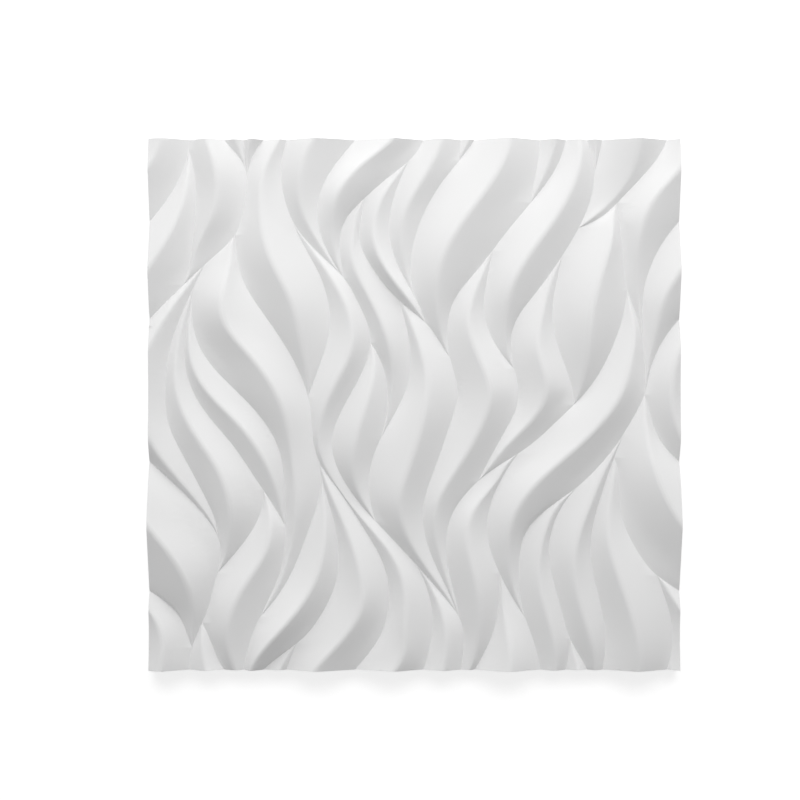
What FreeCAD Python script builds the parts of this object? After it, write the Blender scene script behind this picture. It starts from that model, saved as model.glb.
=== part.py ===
"""A cast relief wall panel, modelled lying on its plain back.

The face is covered by long blades that meet in sharp valleys and rise to soft crests.  The pattern
repeats once over the panel in both directions, so that panels laid side by side join without a seam.
X runs to the right and Y up the face, Z points out of it, and the origin is the middle of the back.
"""
import FreeCAD, Part
import math
import os
from FreeCAD import Vector

PANEL = "wall_panel"

doc = FreeCAD.newDocument("relief_wall_panel")

# Driving dimensions, in millimetres, and the two ratios that shape a flank.  The crests of narrow blades
# rise with the steepness of their flanks, and those of wide blades tend to the limit of the relief.
DRIVING_SIZES = (
    ("panel_width", 500.0),
    ("panel_height", 500.0),
    ("base_thickness", 11.0),
    ("relief_limit", 32.0),
    ("flank_steepness", 0.68),
    ("flank_bulge", 0.15),
    ("crest_round", 2.5),
)
sheet = doc.addObject("Spreadsheet::Sheet", "sizes")
for row, (alias, value) in enumerate(DRIVING_SIZES, start=1):
    sheet.set(f"A{row}", alias)
    sheet.set(f"B{row}", str(value))
    sheet.setAlias(f"B{row}", alias)
doc.recompute()

# The pattern is drawn in hundredths of the panel, from its lower left corner.  Valley lines, from top to
# bottom: the valley that each one leaves, the one that it runs into, and its points.  A line that leaves
# the panel at one side comes back in at the opposite side.
VALLEYS = {
    "a": ("b", "h", [
        (10.3, 108.9), (12, 104.2), (14.1, 100), (17.3, 96.2), (18.4, 92.2), (17.7, 87), (16.1, 82),
        (12, 77.9), (8, 74.2), (4, 70.3), (0, 66.2), (-3.7, 61), (-5.6, 56), (-6.5, 52), (-8.7, 47.5),
        (-12, 42.2), (-16, 37.5), (-20, 33.9), (-25, 30.3), (-28.3, 27), (-29.9, 23), (-30.3, 17.5),
        (-29.6, 11.6), (-27.6, 5.8), (-26.3, 0), (-26.8, -5), (-28.1, -11.8)]),
    "b": ("a", "a", [
        (-6.3, 51.9), (-5.2, 47.3), (-3, 42.5), (0, 39.3), (4, 35.7), (8, 31.8), (11, 28.3), (13, 24.8),
        (13.3, 20.5), (12.2, 16), (11, 11.5), (9, 6.8), (7.9, 3.5), (7.4, -1.8), (5, -8.5), (2, -13),
        (-2, -17.8), (-5, -23), (-6.6, -28), (-6.9, -34), (-6.7, -40), (-6.4, -47.5)]),
    "c": ("b", "a", [(7.4, 98.2), (8.3, 94.3), (8.8, 90), (8.5, 84), (7.9, 78.5), (6.2, 72.6)]),
    "d": ("k", "b", [
        (88, 40), (88.7, 35), (89, 30), (90.5, 25.3), (93, 21), (95.8, 17.8), (100, 14.9), (104, 12),
        (106.4, 8.5), (107.9, 4.2)]),
    "e": ("d", "m", [
        (95.8, 17.8), (97.4, 13.5), (98.7, 8), (98.3, 2), (96.2, -3), (92, -8), (88, -12.2), (84, -15.3),
        (81.7, -16.6)]),
    "f": ("a", "n", [
        (16.1, 82), (16.6, 77), (18, 72.7), (22, 66.5), (26, 60.5), (29, 54.5), (30.4, 49), (30.9, 43.5),
        (32.4, 38.6), (36, 33.5), (40, 27.4), (43.5, 21.4), (45.1, 16.3), (45, 11), (43.2, 5.7),
        (38.8, 0), (35.5, -4), (33, -8), (31.8, -12), (32, -17), (33.6, -21), (36.2, -25.3)]),
    "g": ("n", "f", [
        (27.2, 84.4), (29.7, 79), (32, 74.8), (33.6, 70), (34.1, 65), (33, 60), (31, 54.5), (30.1, 51.5)]),
    "h": ("m", "n", [
        (79.3, 105.8), (78.9, 101.5), (77.2, 95.6), (73, 89.4), (67.3, 82.5), (62, 75.6), (58, 70.6),
        (56.4, 66), (56.3, 61), (57.4, 56.5), (58.2, 52), (57, 47), (55.3, 42), (53.5, 37), (51.9, 32),
        (51.7, 27.5), (53.2, 21.6), (56, 15.6), (58.3, 10.6)]),
    "k": ("a", "m", [
        (89.7, 44.2), (87, 38), (84.8, 31.3), (83.3, 24.5), (83.7, 18.5), (85.4, 11.3), (86.1, 5.5),
        (85.5, 0), (84, -6.5)]),
    "m": ("a", "y", [
        (81.3, 35), (78, 31), (76, 26.5), (75.4, 22), (76.2, 17), (78, 10.3), (79.7, 5.2), (82.4, 0.5),
        (83.8, -4), (83.7, -9.5), (81, -16.7), (77, -23.3), (73, -28.8), (69.5, -33.5), (68.2, -39),
        (69.3, -45), (69.6, -49.3), (67, -55.2), (64, -60.7), (61.7, -64.4)]),
    "n": ("p", "t", [
        (28.1, 105), (25.8, 99.7), (24.8, 94), (25.5, 88.8), (28.2, 82.8), (33, 77.6), (36.3, 74.4),
        (39.3, 69.5), (41.5, 64), (41.4, 59.7), (38.5, 53), (35.5, 47.2), (34.4, 42.5), (35.5, 38),
        (40, 31), (46, 24.5), (52, 18), (56, 13.3), (58.6, 9.6), (59.3, 5), (58.8, 0), (58.2, -3.9)]),
    "p": ("f", "a", [
        (32.1, 39.3), (32.8, 35), (34.6, 29), (35.6, 22), (35.1, 16.3), (32.5, 10.5), (28.1, 5.2),
        (22, 0.5), (19.3, -3.5), (18.4, -7.5)]),
    "q": ("n", "n", [
        (50.3, 19.8), (52.7, 14.4), (53.5, 9), (52.6, 3), (49, -3.9), (45, -7.1), (41, -10.6),
        (37.5, -14.3), (35.9, -20), (36.6, -26)]),
    "r": ("q", "s", [
        (49, 96.1), (47.1, 92), (45.6, 87), (45.4, 81), (47, 76.2), (49.5, 71.5), (52.3, 65.5)]),
    "s": ("q", "h", [
        (41.1, 89), (39.9, 85), (39.8, 80.5), (42, 76), (45, 71.9), (48.5, 68.5), (52.3, 65.3),
        (54.7, 62), (56.6, 58.9)]),
    "t": ("z", "r", [
        (66, 118.2), (66.1, 114), (65.3, 108.5), (63.1, 103), (60, 98.1), (55.5, 92.4), (51.3, 85),
        (49.4, 78), (49.5, 73), (50.5, 69.6)]),
    "u": ("h", "m", [(64.9, 79), (63.6, 73), (63.1, 67.8), (65, 62), (68.6, 56.8)]),
    "w": ("m", "y", [(78, 78.1), (76.6, 72), (76.1, 66), (77.5, 60), (79.3, 55), (80.1, 50)]),
    "x": ("e", "b", [(88.3, 88.1), (88.9, 83), (89.5, 77.5), (90.2, 71.8), (92.1, 66.5), (92.85, 63.3),
                 (93.2, 60.5)]),
    "y": ("x", "n", [
        (90.2, 71.6), (89.3, 66.2), (86.8, 59.5), (82.7, 52.8), (76.5, 46.5), (70.5, 41.4), (65, 37.9),
        (61, 34.6), (57.5, 30), (56, 25), (56.2, 20), (57.5, 14.3), (58.6, 9.8)]),
    "z": ("y", "a", [
        (69.6, 40.8), (66.2, 35.6), (64.2, 30.5), (63.8, 25.3), (65.2, 20.3), (68, 14.5), (70.8, 9.8)]),
    "aa": ("a", "b", [
        (10.4, 76.4), (8.2, 72), (5.6, 66), (3.7, 60), (3, 53), (3.6, 46.3), (6, 41), (9.7, 34.1),
        (11.8, 29.8), (13.1, 24.6)]),
    "bb": ("aa", "a", [
        (8, 71.6), (7.9, 68.5), (8.5, 63.5), (11.8, 57.3), (18, 51), (22, 46.3), (24.7, 40.7),
        (25.5, 34.5), (25.7, 26), (24.6, 18.2), (20.9, 10.1), (18.3, 2.8), (17.85, -1.5),
        (18.15, -4.8), (18.3, -6.6)]),
    "cc": ("bb", "bb", [
        (7.9, 69.8), (6.9, 64), (6.7, 58), (8, 53), (11, 48), (16, 42), (19.5, 36.8), (22.3, 32.7),
        (25.6, 27)]),
    "dd": ("cc", "b", [(21.1, 34), (21.1, 30), (18, 24.3), (13.1, 18.2)]),
    "ee": ("p", "bb", [(32.2, 36.8), (31.9, 32), (29.9, 26), (26.8, 18.3), (20.9, 9.9)]),
    "ff": ("n", "gg", [(41.8, 61.8), (44, 57.5), (45, 52), (43.3, 43.4)]),
    "gg": ("s", "n", [
        (46.9, 69.8), (48.7, 64), (49.3, 58), (48, 51.7), (44.4, 45), (42.1, 39.8), (41.4, 34.5),
        (43, 28)]),
}

# Crest lines, from the tip at the top of each blade to the tip at its bottom.  A third number says how
# bold the blade is there, beside other blades of its width.
CRESTS = (
    [(10.3, 108.9), (10.8, 101), (12.6, 95), (13, 90), (11.6, 84.5), (8.6, 78), (6.2, 72.6)],
    [(93.6, 51.9), (93.7, 45), (95.2, 37.5), (100, 27.6), (104, 22.5), (107.2, 16.8), (108.3, 10),
     (107.9, 4.2)],
    [(7.4, 98.2), (7.2, 92.5), (4, 82), (0, 75.4), (-3, 70), (-4.7, 63), (-5.7, 58.5), (-6.4, 52.5)],
    [(88, 40), (86.8, 32), (86.5, 25), (89.3, 15), (91.6, 7), (92.2, 0, 0.8),
     (90.2, -7.5, 0.6), (86, -12.6, 0.6), (81.7, -16.6)],
    [(95.8, 17.8), (99, 13.2), (102, 8.5), (102.4, 1), (100, -5.3), (96, -10), (93, -15.5), (91.9, -23),
     (92.4, -31.5), (92.9, -36), (93.2, -39.5)],
    [(16.1, 82), (15.2, 77), (13.9, 70), (14.8, 64.8), (20, 58.2), (25, 50), (27, 41), (27.8, 31),
     (26.7, 22.7), (24.4, 16), (20.9, 9.9)],
    [(27.2, 84.4), (30, 80.1), (34.6, 73.5), (38, 66), (38, 60.5), (35, 53.5), (32.4, 47), (32.3, 41),
     (35.5, 34.6), (40, 28.7), (45.5, 22), (48.2, 15), (48.3, 8.5), (46, 0), (40, -5.1, 1.3),
     (36, -10, 1.3), (34.6, -16.5), (36.6, -26)],
    [(28.1, 105), (24.5, 100), (21.9, 94.5), (21.2, 87), (22.9, 78), (27, 69), (28.9, 60.5), (30.1, 51.5)],
    [(32.1, 39.3), (34.2, 33.5), (37.5, 26), (40, 18), (39.8, 11.3), (35, 4.3), (31.2, 0), (28.6, -6.5),
     (28.9, -13.5), (32.5, -20.3), (36.2, -25.3)],
    [(50.3, 19.8), (53.6, 14.8), (55.7, 9), (55.6, 2), (52.5, -6), (48.6, -13), (47.8, -22),
     (50.5, -30.4)],
    [(49, 96.1), (44.6, 90.3), (42.5, 84.5), (43.1, 78.8, 1.4), (47, 72.1, 1.8), (52.3, 65.5)],
    [(41.1, 89), (38.6, 83.3), (38.4, 77.5), (41.6, 70.2), (45.1, 62), (46, 55), (45.1, 48.3),
     (43.3, 43.4)],
    [(66, 118.2), (66.8, 112.5), (67.8, 105), (66.7, 96), (61, 87), (56.3, 79.7), (54.2, 71.8),
     (54.6, 65.5), (56.6, 58.9)],
    [(79.3, 105.8), (81.1, 99.5), (80.3, 93), (77, 86), (71.3, 77.8), (68, 71.3), (67.1, 64), (68.6, 56.8)],
    [(64.9, 79), (62, 73), (60.2, 66.5), (62, 59.2), (64.1, 53), (62.8, 46.7), (58.2, 38.3), (54.4, 31.5),
     (54.1, 25), (56, 17.5), (58.6, 9.8)],
    [(81.3, 35), (77.5, 31.5), (74.7, 26.5), (73.4, 19.5), (74.5, 12.2), (76.3, 5), (76.1, -2),
     (71.9, -11.8)],
    [(78, 78.1), (76.1, 74.3), (74.1, 67.5), (73.3, 60.5), (74.8, 53), (72.3, 47.4), (67.2, 42),
     (61.7, 35.6)],
    [(88.3, 88.1), (87, 82), (85, 74.5), (83.2, 67), (82.6, 60), (80.1, 50)],
    [(90.2, 71.6), (91.3, 65.5), (90.7, 58.5), (87.7, 50.3), (81.2, 42.8), (73.5, 35.9), (69.1, 30),
     (67.6, 21.5), (70.8, 9.8)],
    [(69.6, 40.8), (65.8, 36.2), (61.5, 30.8), (60, 24.8), (61.4, 17.3), (62.2, 9), (60.3, 0),
     (58.2, -3.9)],
    [(89.7, 44.2), (86.2, 38.4), (82.9, 31), (80.3, 23), (80.8, 14), (83.3, 5), (84.2, -1), (84, -6.5)],
    [(10.4, 76.4), (6, 70.7), (1.5, 63.8), (-1.3, 56.5), (-1.5, 49), (1.8, 40.9), (8, 33.1),
     (13.1, 24.6)],
    [(8, 71.6), (6.4, 65.8), (5.2, 59), (5.5, 52), (8.8, 44.6), (12.9, 38.3), (15.3, 31.5), (15.2, 25),
     (13.1, 18.2)],
    [(7.9, 69.8), (7.6, 64), (8.5, 57), (11.8, 51.7), (17, 46.3), (21.5, 40), (24.3, 33), (25.6, 27)],
    [(21.1, 34), (22.9, 28.5), (21.8, 22), (18.5, 16.6), (15.6, 10.7), (15.4, 2.5), (18.2, -6.6)],
    [(32.2, 36.8), (33.1, 30), (32.8, 22.5), (29.9, 14.3, 1.3), (24.4, 7.2, 1.7),
     (19.8, 1.2, 1.7), (18.4, -7.5)],
    [(41.8, 61.8), (42.3, 56.5), (40.5, 48.8), (38.6, 41), (39.3, 34), (43, 28)],
    [(46.9, 69.8), (49.6, 65), (52.1, 57), (51.8, 48.3), (49, 38.5), (47.2, 31), (50.2, 22.5),
     (54.5, 16.2), (58.3, 10.6)],
)


# A flank's surface across the blade: its degree, and rows of poles on the plain part of the flank, as
# shares of the way from the valley to the shoulder where the round of the crest begins
FLANK_DEGREE = 2
FLANK_ROWS = (0.2, 0.5, 0.8)

# The round of a crest takes up at most this share of a narrow flank
NARROW_ROUND = 0.3

# A flank eases a corner of its valley over this many of its own widths, by a mean of so many places on
# each side.  The eased line has a point about every step, as a share of the panel.
EASING_SPAN = 0.9
EASING_PLACES = 8
EASING_STEP = 0.018
TIP_CROWDING = 0.4  # how far those points crowd together near the tips, up to 1

# Shares of the panel: how near two places are one, and how far inside a tip a blade's middle is found
ON_LINE = 1e-8
TIP_RUN = 0.015

SETTLING_ROUNDS = 8
SEWING_TOLERANCE = 0.001

# Moves by whole repeats that can bring a line or blade over the panel
SHIFTS = (-2, -1, 0, 1, 2)


def shares(points):
    """Places of the drawing as shares of the panel, so that one repeat of the pattern is 1."""
    return [(x / 100, y / 100) for x, y in points]


def line_through(points):
    """A smooth line whose parameter runs down the face."""
    line = Part.BSplineCurve()
    line.interpolate(Points=[Vector(*point) for point in points],
                     Parameters=[-point[1] for point in points])
    return line


def flat_line(points):
    """A smooth line in the plane of the face."""
    return line_through([(x, y, 0) for x, y in points])


def reach(line):
    """The highest and lowest place of a line on the face."""
    return -line.FirstParameter, -line.LastParameter


def place(line, y):
    """How far right a line is at a height on the face."""
    return line.value(-y).x


def on_valley(lines, name, x, y):
    """Move a point sideways onto the nearest repeat of a valley line."""
    top, bottom = reach(lines[name])
    found = []
    for up in SHIFTS:
        if bottom - ON_LINE <= y - up <= top + ON_LINE:
            across = place(lines[name], y - up)
            found.append(across + round(x - across))
    return min(found, key=lambda across: abs(across - x)), y


def settled_valleys():
    """The valley lines, with the ends of each one lying exactly on the valleys that it meets."""
    points = {name: shares(valley[2]) for name, valley in VALLEYS.items()}
    for _ in range(SETTLING_ROUNDS):
        lines = {name: flat_line(points[name]) for name in VALLEYS}
        for name, (start, end, _) in VALLEYS.items():
            points[name][0] = on_valley(lines, start, *points[name][0])
            points[name][-1] = on_valley(lines, end, *points[name][-1])
    return {name: flat_line(points[name]) for name in VALLEYS}


valleys = settled_valleys()


def neighbours(x, y):
    """The valley lines next to a point on the left and right, each with its shift in repeats."""
    left, right = None, None
    for name, line in valleys.items():
        top, bottom = reach(line)
        for up in SHIFTS:
            if not bottom <= y - up <= top:
                continue
            across = place(line, y - up)
            side = math.floor(x - across)
            if left is None or across + side > left[0]:
                left = (across + side, name, side, up)
            if right is None or across + side + 1 < right[0]:
                right = (across + side + 1, name, side + 1, up)
    return left, right


def tip_and_run(name, first):
    """The tip where a valley starts or ends, and the middle of the blade a short run inside that tip."""
    top, bottom = reach(valleys[name])
    y = top if first else bottom
    level = y - TIP_RUN if first else y + TIP_RUN
    across = place(valleys[name], level)
    beyond = on_valley(valleys, VALLEYS[name][0 if first else 1], across, level)[0]
    left, right = neighbours(across + math.copysign(ON_LINE, beyond - across), level)
    return (place(valleys[name], y), y), ((left[0] + right[0]) / 2, level)


TIPS = [tip_and_run(name, first) for name in VALLEYS for first in (True, False)]


def nearest_tip(x, y):
    """The exact tip, and the point inside it, for the rough end of a crest."""
    def shift(tip):
        return round(x - tip[0]), round(y - tip[1])

    def distance(pair):
        right, up = shift(pair[0])
        return math.hypot(pair[0][0] + right - x, pair[0][1] + up - y)

    pair = min(TIPS, key=distance)
    right, up = shift(pair[0])
    return [(across + right, level + up) for across, level in pair]


def stretches(crest):
    """The stretches of a blade over which the valleys beside it stay the same, for each side."""
    top, bottom = reach(crest)
    levels = {top, bottom}
    for (_, y), _ in TIPS:
        for up in SHIFTS:
            if bottom + ON_LINE < y + up < top - ON_LINE:
                levels.add(y + up)
    levels = sorted(levels, reverse=True)
    sides = ([], [])
    for high, low in zip(levels, levels[1:]):
        if high - low < ON_LINE:
            continue
        middle = (high + low) / 2
        for side, (_, *valley) in zip(sides, neighbours(place(crest, middle), middle)):
            if side and side[-1][0] == valley:
                side[-1][2] = low
            else:
                side.append([valley, high, low])
    return sides


def crest_height(flat, x, y, bold):
    """How far a crest stands above the valleys, from the mean run of its flanks."""
    left, right = neighbours(x, y)
    slant = flat.tangent(-y)[0]
    straight = abs(slant.y) / slant.Length * sheet.panel_width
    to_left, to_right = (x - left[0]) * straight, (right[0] - x) * straight
    run = 2 * to_left * to_right / (to_left + to_right)
    rise = bold * sheet.flank_steepness * run
    return sheet.relief_limit * (1 - math.exp(-rise / sheet.relief_limit))


def crest_line(points):
    """A crest from tip to tip, with its height above the valleys."""
    first, *inner, last = shares(point[:2] for point in points)
    first_tip, first_run = nearest_tip(*first)
    last_tip, last_run = nearest_tip(*last)
    inner = [first_run, *inner, last_run]
    flat = flat_line([first_tip, *inner, last_tip])
    boldness = [point[2] if len(point) > 2 else 1 for point in points]
    raised = [(x, y, crest_height(flat, x, y, bold)) for (x, y), bold in zip(inner, boldness)]
    return line_through([(*first_tip, 0), *raised, (*last_tip, 0)])


def beside(side, y):
    """How far right the valley on one side of a blade is, at a height on the face."""
    for (name, right, up), high, low in side:
        if low - ON_LINE <= y <= high + ON_LINE:
            return place(valleys[name], y - up) + right


def eased_valley(crest, side):
    """The valley on one side of a blade with its corners eased, and with more points near the tips."""
    top, bottom = reach(crest)
    count = math.ceil((top - bottom) / EASING_STEP)
    points = []
    for step in range(count + 1):
        even = 1 - step / count
        crowded = (1 + math.cos(math.pi * step / count)) / 2
        y = bottom + (top - bottom) * (even + TIP_CROWDING * (crowded - even))
        width = abs(place(crest, y) - beside(side, y))
        span = min(EASING_SPAN * width, top - y, y - bottom)
        window = [beside(side, y + span * number / EASING_PLACES)
                  for number in range(-EASING_PLACES, EASING_PLACES + 1)]
        points.append((sum(window) / len(window), y))
    return flat_line(points)


def on_panel(point):
    """A point of the pattern, in millimetres on the panel."""
    return Vector((point.x - 1 / 2) * sheet.panel_width,
                  (point.y - 1 / 2) * sheet.panel_height,
                  point.z + sheet.base_thickness)


def cut_line(line, high, low, right=0, up=0):
    """A stretch of a line between two heights on the face, moved by whole repeats."""
    piece = line.copy()
    piece.segment(up - high, up - low)
    moved = Part.BSplineCurve()
    shift = Vector(right, up, 0)
    moved.buildFromPolesMultsKnots([pole + shift for pole in piece.getPoles()], piece.getMultiplicities(),
                                   [knot - up for knot in piece.getKnots()], False, piece.Degree)
    return moved


def share_knots(lines):
    """Give lines over the same stretch the same knots."""
    for line in lines:
        for other in lines:
            for knot in other.getKnots():
                if min(abs(knot - known) for known in line.getKnots()) > ON_LINE:
                    line.insertKnot(knot, 1, ON_LINE)


def flank_row(foot, inner, top):
    """The poles across a flank: up from the valley with a slight bulge, then round to the level crest."""
    run = math.hypot(top.x - inner.x, top.y - inner.y)
    round_share = sheet.crest_round / (run + sheet.crest_round / NARROW_ROUND)
    brow = top + (inner - top) * round_share
    brow.z = top.z
    row = [foot]
    for share in (*FLANK_ROWS, 1):
        reached = share * (1 - 2 * round_share) / (1 - round_share)
        pole = inner + (brow - inner) * reached
        pole.z = foot.z + (top.z - foot.z) * reached * (1 + sheet.flank_bulge * (1 - reached))
        row.append(pole)
    return [*row, brow, top]


def flank(valley, eased, crest):
    """One side of a blade over a stretch.  Above the valley it follows the eased valley."""
    share_knots((valley, eased, crest))
    rows = [flank_row(*(on_panel(pole) for pole in poles))
            for poles in zip(valley.getPoles(), eased.getPoles(), crest.getPoles())]
    spans = len(rows[0]) - FLANK_DEGREE
    ends = FLANK_DEGREE + 1
    face = Part.BSplineSurface()
    face.buildFromPolesMultsKnots(rows, crest.getMultiplicities(), [ends, *[1] * (spans - 1), ends],
                                  crest.getKnots(), list(range(spans + 1)), False, False,
                                  crest.Degree, FLANK_DEGREE)
    return face.toShape()


def blade(points):
    """The faces of one blade, on both sides of its crest."""
    crest = crest_line(points)
    faces = []
    for side in stretches(crest):
        eased = eased_valley(crest, side)
        for (name, right, up), high, low in side:
            valley = cut_line(valleys[name], high, low, right, up)
            faces.append(flank(valley, cut_line(eased, high, low), cut_line(crest, high, low)))
    return Part.makeCompound(faces)


def over_panel(shape):
    """Whether some of a shape lies over the panel, seen from the front."""
    box = shape.BoundBox
    half_width, half_height = sheet.panel_width / 2, sheet.panel_height / 2
    return (box.XMin < half_width and box.XMax > -half_width
            and box.YMin < half_height and box.YMax > -half_height)


def relief_skin():
    """The sewn face of the panel, with every repeat of a blade that lies over it."""
    faces = []
    for points in CRESTS:
        shape = blade(points)
        for right in SHIFTS:
            for up in SHIFTS:
                copy = shape.translated(Vector(right * sheet.panel_width, up * sheet.panel_height, 0))
                if over_panel(copy):
                    faces.extend(copy.Faces)
    skin = Part.makeCompound(faces)
    skin.sewShape(SEWING_TOLERANCE)
    return skin


blank = doc.addObject("Part::Box", "blank")
blank.setExpression("Length", "sizes.panel_width")
blank.setExpression("Width", "sizes.panel_height")
blank.setExpression("Height", "sizes.base_thickness + sizes.relief_limit")
blank.setExpression("Placement.Base.x", "-sizes.panel_width / 2")
blank.setExpression("Placement.Base.y", "-sizes.panel_height / 2")
relief = doc.addObject("Part::Feature", "relief")
relief.Shape = relief_skin()
doc.recompute()

# The face divides the blank, and the piece that holds the back is the panel
pieces, _ = blank.Shape.generalFuse([relief.Shape])
panel = doc.addObject("Part::Feature", PANEL)
panel.Label = PANEL
panel.Shape = min(pieces.Solids, key=lambda solid: solid.BoundBox.ZMin)
doc.recompute()

for item in doc.Objects:
    if "Invalid" in item.State or "Error" in item.State:
        raise RuntimeError(f"{item.Name} failed: {item.State}")
if panel.Shape.isNull() or not panel.Shape.isValid():
    raise RuntimeError("the panel is not a valid solid")

os.makedirs("parts", exist_ok=True)
panel.Shape.exportStep(f"parts/{panel.Label}.step")
print(panel.Label, panel.Shape.ShapeType, panel.Shape.BoundBox, round(panel.Shape.Volume))
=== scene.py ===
"""A cast plaster wall panel with a relief of flowing blades, seen straight from the front.

The panel lies on its back on a pale floor, so the front view looks straight down:
+X is right, +Y is up the wall, and +Z comes out of the panel's face.
"""

import math

import bpy
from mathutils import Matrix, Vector


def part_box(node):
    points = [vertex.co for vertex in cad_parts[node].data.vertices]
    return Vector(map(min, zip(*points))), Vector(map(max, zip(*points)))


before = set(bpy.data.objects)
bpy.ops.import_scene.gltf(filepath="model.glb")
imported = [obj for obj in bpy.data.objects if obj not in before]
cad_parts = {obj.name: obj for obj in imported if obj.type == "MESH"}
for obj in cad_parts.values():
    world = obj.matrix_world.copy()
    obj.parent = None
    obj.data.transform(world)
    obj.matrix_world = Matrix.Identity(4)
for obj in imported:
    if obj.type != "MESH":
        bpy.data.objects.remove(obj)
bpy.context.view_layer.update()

PANEL = "wall_panel"
WHITE = (1, 1, 1, 1)

# The photograph's frame, in pixels, and where the panel's sides lie in it at the middle of the relief
IMAGE_SIZE = 800
PANEL_LEFT = 148.4
PANEL_RIGHT = 680.4
PANEL_TOP = 139
PANEL_BOTTOM = 670.7

# The camera: its height and that of the middle of the relief, in metres, and its sensor in millimetres
CAMERA_HEIGHT = 1.5
MIDDLE_RELIEF = 0.018
SENSOR_WIDTH = 36

# Light: a low, very soft sun from beyond the panel's upper edge, a pale room all round that is seen as
# white, and a long lamp near that edge, so that the light falls off down the panel.  Angles are in degrees
SUN_STRENGTH = 2.2
SUN_ELEVATION = 25
SUN_SOFTNESS = 70
ROOM_LIGHT = 0.423
LAMP_POWER = 1.3
LAMP_PLACE = Vector((0, 0.4, 0.5))
LAMP_TARGET = Vector((0, 0.3, 0))
LAMP_WIDTH = 1
LAMP_HEIGHT = 0.3

# The floor is a pale sheet a hair above the panel's back, so that the two faces don't coincide, and
# what the camera sees of it is lifted to white where no shadow falls
FLOOR_SIZE = 6
FLOOR_RISE = 0.0002
FLOOR_COLOUR = (0.6, 0.6, 0.6, 1)
FLOOR_LIFT = 0.62

# Plaster: its tone, and how far each mark changes it.  The sides and the back are raw, without a finish;
# they are darkened as painted shade, and the pores as painted shade in their holes
PLASTER_TONE = 0.8
CLOUD_CHANGE = 0.012
GRAIN_CHANGE = 0.012
STREAK_CHANGE = 0.1
CHIP_CHANGE = 0.025
PAINTED_SIDE_SHADE = -0.06
PAINTED_PORE_SHADE = -0.2

# Plaster: its gloss, where the roughness goes from least to most as the cloud noise swings either way
LEAST_ROUGHNESS = 0.8
MOST_ROUGHNESS = 0.92
CLOUD_SWING = 0.4
SPECULAR_LEVEL = 0.3

# Sizes and depths of the plaster's marks, in metres
CLOUD_SIZE = 0.07
GRAIN_SIZE = 0.0006
GRAIN_DEPTH = 0.00004
STREAK_WIDTH = 0.006
STREAK_DEPTH = 0.0005
PORE_SPACING = 0.009
PORE_RADIUS = 0.0005
PORE_FLOOR_RADIUS = 0.00015
PORE_DEPTH = 0.0004
CHIP_SIZE = 0.005
CHIP_DEPTH = 0.0003
RIM_WIDTH = 0.002

# A trowel streak's width over its length, and its slant in degrees
STREAK_ASPECT = 0.18
STREAK_SLANT = 12

# The noise, from -1 to 1, above which the rim begins to be chipped, and is chipped to the full depth
CHIP_START = 0.1
CHIP_FULL = 0.4

# How far a surface's normal points up, where it counts as the panel's back or as its face
BACK_BELOW = -0.5
FACE_ABOVE = 0.2

# How well a smooth normal agrees with its facet's, as a cosine: below the first it is dropped, above the
# second it is kept whole
STRAY_NORMAL = 0.95
NEAR_NORMAL = 0.985


class Nodes:
    """Short ways to add nodes to a tree and link them."""

    def __init__(self, tree):
        self.tree = tree

    def add(self, kind, **settings):
        node = self.tree.nodes.new(kind)
        for name, value in settings.items():
            setattr(node, name, value)
        return node

    def feed(self, socket, value):
        """Link an output to a socket, or write a number or vector on it."""
        if isinstance(value, bpy.types.NodeSocket):
            self.tree.links.new(value, socket)
        else:
            socket.default_value = value

    def math(self, operation, first, second=0.0, third=0.0):
        node = self.add("ShaderNodeMath", operation=operation)
        for socket, value in zip(node.inputs, (first, second, third)):
            self.feed(socket, value)
        return node.outputs["Value"]

    def times(self, first, second):
        return self.math("MULTIPLY", first, second)

    def layers(self, total, marks):
        """A first value, plus each mark times its own amount."""
        for mark, amount in marks:
            total = self.math("MULTIPLY_ADD", mark, amount, total)
        return total

    def noise(self, place, size, detail=2.0, roughness=0.5):
        """Noise from -1 to 1 whose blotches are about this size."""
        node = self.add("ShaderNodeTexNoise")
        self.feed(node.inputs["Vector"], place)
        node.inputs["Scale"].default_value = 1 / size
        node.inputs["Detail"].default_value = detail
        node.inputs["Roughness"].default_value = roughness
        return self.math("MULTIPLY_ADD", node.outputs["Fac"], 2.0, -1.0)

    def ramp(self, value, low, high, first=0.0, last=1.0):
        """A value carried smoothly from one range to another."""
        node = self.add("ShaderNodeMapRange", interpolation_type="SMOOTHSTEP")
        for name, number in (("Value", value), ("From Min", low), ("From Max", high),
                             ("To Min", first), ("To Max", last)):
            self.feed(node.inputs[name], number)
        return node.outputs["Result"]

    def split(self, vector):
        """The parts of a vector along X, Y and Z."""
        node = self.add("ShaderNodeSeparateXYZ")
        self.feed(node.inputs["Vector"], vector)
        return node.outputs

    def seen(self):
        """1 where the camera sees the surface, also in a reflection or through glass, and 0 elsewhere."""
        rays = self.add("ShaderNodeLightPath").outputs
        mirrored = self.math("MAXIMUM", rays["Is Glossy Ray"], rays["Is Transmission Ray"])
        return self.math("MAXIMUM", rays["Is Camera Ray"], mirrored)


def new_material(name):
    """An empty node material, with its nodes and its shader."""
    material = bpy.data.materials.new(name)
    material.use_nodes = True
    material.node_tree.nodes.clear()
    nodes = Nodes(material.node_tree)
    output = nodes.add("ShaderNodeOutputMaterial")
    shader = nodes.add("ShaderNodeBsdfPrincipled")
    nodes.feed(output.inputs["Surface"], shader.outputs["BSDF"])
    return material, nodes, shader


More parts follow.
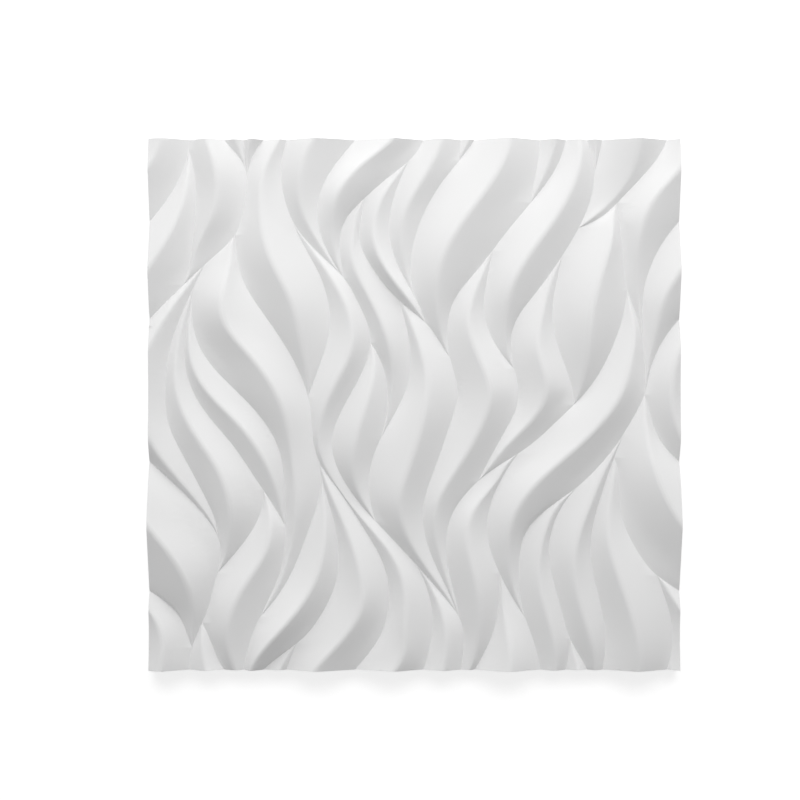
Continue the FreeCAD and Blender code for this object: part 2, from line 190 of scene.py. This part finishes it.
def steady_normal(nodes):
    """The smooth normal, or the facet's own where the two disagree, as at the tips of the blades."""
    normals = nodes.add("ShaderNodeNewGeometry").outputs
    agreement = nodes.add("ShaderNodeVectorMath", operation="DOT_PRODUCT")
    steady = nodes.add("ShaderNodeMix", data_type="VECTOR")
    share, facet, smooth = (socket for socket in steady.inputs if socket.enabled)
    for socket, name in ((agreement.inputs[0], "True Normal"), (agreement.inputs[1], "Normal"),
                         (facet, "True Normal"), (smooth, "Normal")):
        nodes.feed(socket, normals[name])
    nodes.feed(share, nodes.ramp(agreement.outputs["Value"], STRAY_NORMAL, NEAR_NORMAL))
    return next(socket for socket in steady.outputs if socket.enabled)


def trowel_streaks(nodes, place):
    """Long shallow streaks, as a trowel leaves them."""
    drawn_out = nodes.add("ShaderNodeMapping")
    drawn_out.inputs["Rotation"].default_value = (0, 0, math.radians(STREAK_SLANT))
    drawn_out.inputs["Scale"].default_value = (1, STREAK_ASPECT, 1)
    nodes.feed(drawn_out.inputs["Vector"], place)
    return nodes.noise(drawn_out.outputs["Vector"], STREAK_WIDTH, detail=5, roughness=0.6)


def air_pores(nodes, place):
    """Small round holes where air bubbles were caught."""
    cells = nodes.add("ShaderNodeTexVoronoi", feature="F1")
    cells.inputs["Scale"].default_value = 1 / PORE_SPACING
    nodes.feed(cells.inputs["Vector"], place)
    return nodes.ramp(cells.outputs["Distance"], PORE_FLOOR_RADIUS / PORE_SPACING,
                      PORE_RADIUS / PORE_SPACING, 1.0, 0.0)


def rim_chips(nodes, place):
    """Small chips along the outer rim of the square panel."""
    half_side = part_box(PANEL)[1].x
    spot = nodes.split(place)
    from_middle = nodes.math("MAXIMUM", nodes.math("ABSOLUTE", spot["X"]), nodes.math("ABSOLUTE", spot["Y"]))
    rim = nodes.ramp(from_middle, half_side - RIM_WIDTH, half_side)
    chipped = nodes.ramp(nodes.noise(place, CHIP_SIZE, detail=3), CHIP_START, CHIP_FULL)
    return nodes.times(rim, chipped)


def plaster():
    """White cast gypsum: matt, with a faint cloudy tone and a powdery grain.

    The face is chipped a little along its rim, the sides and the back have pores, and the back is
    trowelled off.  The sides and the back are darkened as painted shade, and the pores as painted shade in
    their holes.
    """
    material, nodes, shader = new_material("plaster_white")
    place = nodes.add("ShaderNodeTexCoord").outputs["Object"]
    upward = nodes.split(nodes.add("ShaderNodeNewGeometry").outputs["True Normal"])["Z"]
    back = nodes.math("LESS_THAN", upward, BACK_BELOW)
    face = nodes.math("GREATER_THAN", upward, FACE_ABOVE)
    # The sides and the back: pores are cut there, and they carry a painted shade
    sides_and_back = nodes.math("SUBTRACT", 1.0, face)

    cloud = nodes.noise(place, CLOUD_SIZE, detail=4)
    grain = nodes.noise(place, GRAIN_SIZE, detail=3, roughness=0.7)
    streak = nodes.times(trowel_streaks(nodes, place), back)
    pore = nodes.times(air_pores(nodes, place), sides_and_back)
    chip = nodes.times(rim_chips(nodes, place), face)

    tone = nodes.layers(PLASTER_TONE, (
        (cloud, CLOUD_CHANGE),
        (grain, GRAIN_CHANGE),
        (streak, STREAK_CHANGE),
        (chip, CHIP_CHANGE),
        # Painted shade: the sides and the back are made darker than the face
        (sides_and_back, PAINTED_SIDE_SHADE),
        # Painted shade in the pore holes: the pores are made darker
        (pore, PAINTED_PORE_SHADE),
    ))
    colour = nodes.add("ShaderNodeCombineColor")
    for channel in ("Red", "Green", "Blue"):
        nodes.feed(colour.inputs[channel], tone)
    nodes.feed(shader.inputs["Base Color"], colour.outputs["Color"])

    roughness = nodes.ramp(cloud, -CLOUD_SWING, CLOUD_SWING, LEAST_ROUGHNESS, MOST_ROUGHNESS)
    nodes.feed(shader.inputs["Roughness"], roughness)
    shader.inputs["Specular IOR Level"].default_value = SPECULAR_LEVEL

    height = nodes.layers(0.0, (
        (grain, GRAIN_DEPTH / 2),
        (streak, STREAK_DEPTH / 2),
        (pore, -PORE_DEPTH),
        (chip, -CHIP_DEPTH),
    ))
    bump = nodes.add("ShaderNodeBump")
    bump.inputs["Distance"].default_value = 1
    nodes.feed(bump.inputs["Height"], height)
    nodes.feed(bump.inputs["Normal"], steady_normal(nodes))
    nodes.feed(shader.inputs["Normal"], bump.outputs["Normal"])
    return material


def pale_sheet():
    """Pale and matt, seen as white apart from the panel's shadow, and clear from below."""
    material, nodes, shader = new_material("floor_pale")
    shader.inputs["Base Color"].default_value = FLOOR_COLOUR
    shader.inputs["Roughness"].default_value = 1
    shader.inputs["Specular IOR Level"].default_value = 0
    shader.inputs["Emission Color"].default_value = WHITE
    nodes.feed(shader.inputs["Emission Strength"], nodes.times(nodes.seen(), FLOOR_LIFT))
    sides = nodes.add("ShaderNodeMixShader")
    from_below, upper, lower = sides.inputs
    nodes.feed(from_below, nodes.add("ShaderNodeNewGeometry").outputs["Backfacing"])
    nodes.feed(upper, shader.outputs["BSDF"])
    nodes.feed(lower, nodes.add("ShaderNodeBsdfTransparent").outputs["BSDF"])
    nodes.feed(material.node_tree.get_output_node("ALL").inputs["Surface"], sides.outputs["Shader"])
    return material


def floor():
    bpy.ops.mesh.primitive_plane_add(size=FLOOR_SIZE, location=(0, 0, FLOOR_RISE))
    plane = bpy.context.object
    plane.name = "floor"
    plane.data.materials.append(pale_sheet())


def new_object(name, data):
    """An object in the scene for a light or the camera."""
    item = bpy.data.objects.new(name, data)
    bpy.context.scene.collection.objects.link(item)
    return item


def facing(place, target):
    """The turn that points a light at a target."""
    return (place - target).to_track_quat("Z", "Y").to_euler()


def sun():
    data = bpy.data.lights.new("sun", "SUN")
    data.energy = SUN_STRENGTH
    data.angle = math.radians(SUN_SOFTNESS)
    elevation = math.radians(SUN_ELEVATION)
    towards = Vector((0, math.cos(elevation), math.sin(elevation)))
    new_object("sun", data).rotation_euler = facing(towards, Vector())


def lamp():
    data = bpy.data.lights.new("lamp", "AREA")
    data.shape = "RECTANGLE"
    data.size = LAMP_WIDTH
    data.size_y = LAMP_HEIGHT
    data.energy = LAMP_POWER
    item = new_object("lamp", data)
    item.location = LAMP_PLACE
    item.rotation_euler = facing(LAMP_PLACE, LAMP_TARGET)


def room():
    """A pale room all round, seen as white."""
    world = bpy.data.worlds.new("room")
    world.use_nodes = True
    nodes = Nodes(world.node_tree)
    background = world.node_tree.nodes["Background"]
    background.inputs["Color"].default_value = WHITE
    strength = nodes.math("MULTIPLY_ADD", nodes.seen(), 1 - ROOM_LIGHT, ROOM_LIGHT)
    nodes.feed(background.inputs["Strength"], strength)
    bpy.context.scene.world = world


def camera():
    """Straight above the panel, framed as in the photograph."""
    low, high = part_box(PANEL)
    pixel = (high.x - low.x) / (PANEL_RIGHT - PANEL_LEFT)
    data = bpy.data.cameras.new("camera")
    data.sensor_width = SENSOR_WIDTH
    data.lens = SENSOR_WIDTH * (CAMERA_HEIGHT - MIDDLE_RELIEF) / (pixel * IMAGE_SIZE)
    middle = IMAGE_SIZE / 2
    item = new_object("camera", data)
    item.location = (
        (low.x + high.x) / 2 + pixel * (middle - (PANEL_LEFT + PANEL_RIGHT) / 2),
        (low.y + high.y) / 2 - pixel * (middle - (PANEL_TOP + PANEL_BOTTOM) / 2),
        CAMERA_HEIGHT,
    )
    bpy.context.scene.camera = item


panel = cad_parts[PANEL]
panel.data.materials.clear()
panel.data.materials.append(plaster())
floor()
sun()
lamp()
room()
camera()
bpy.context.scene.view_settings.view_transform = "Standard"
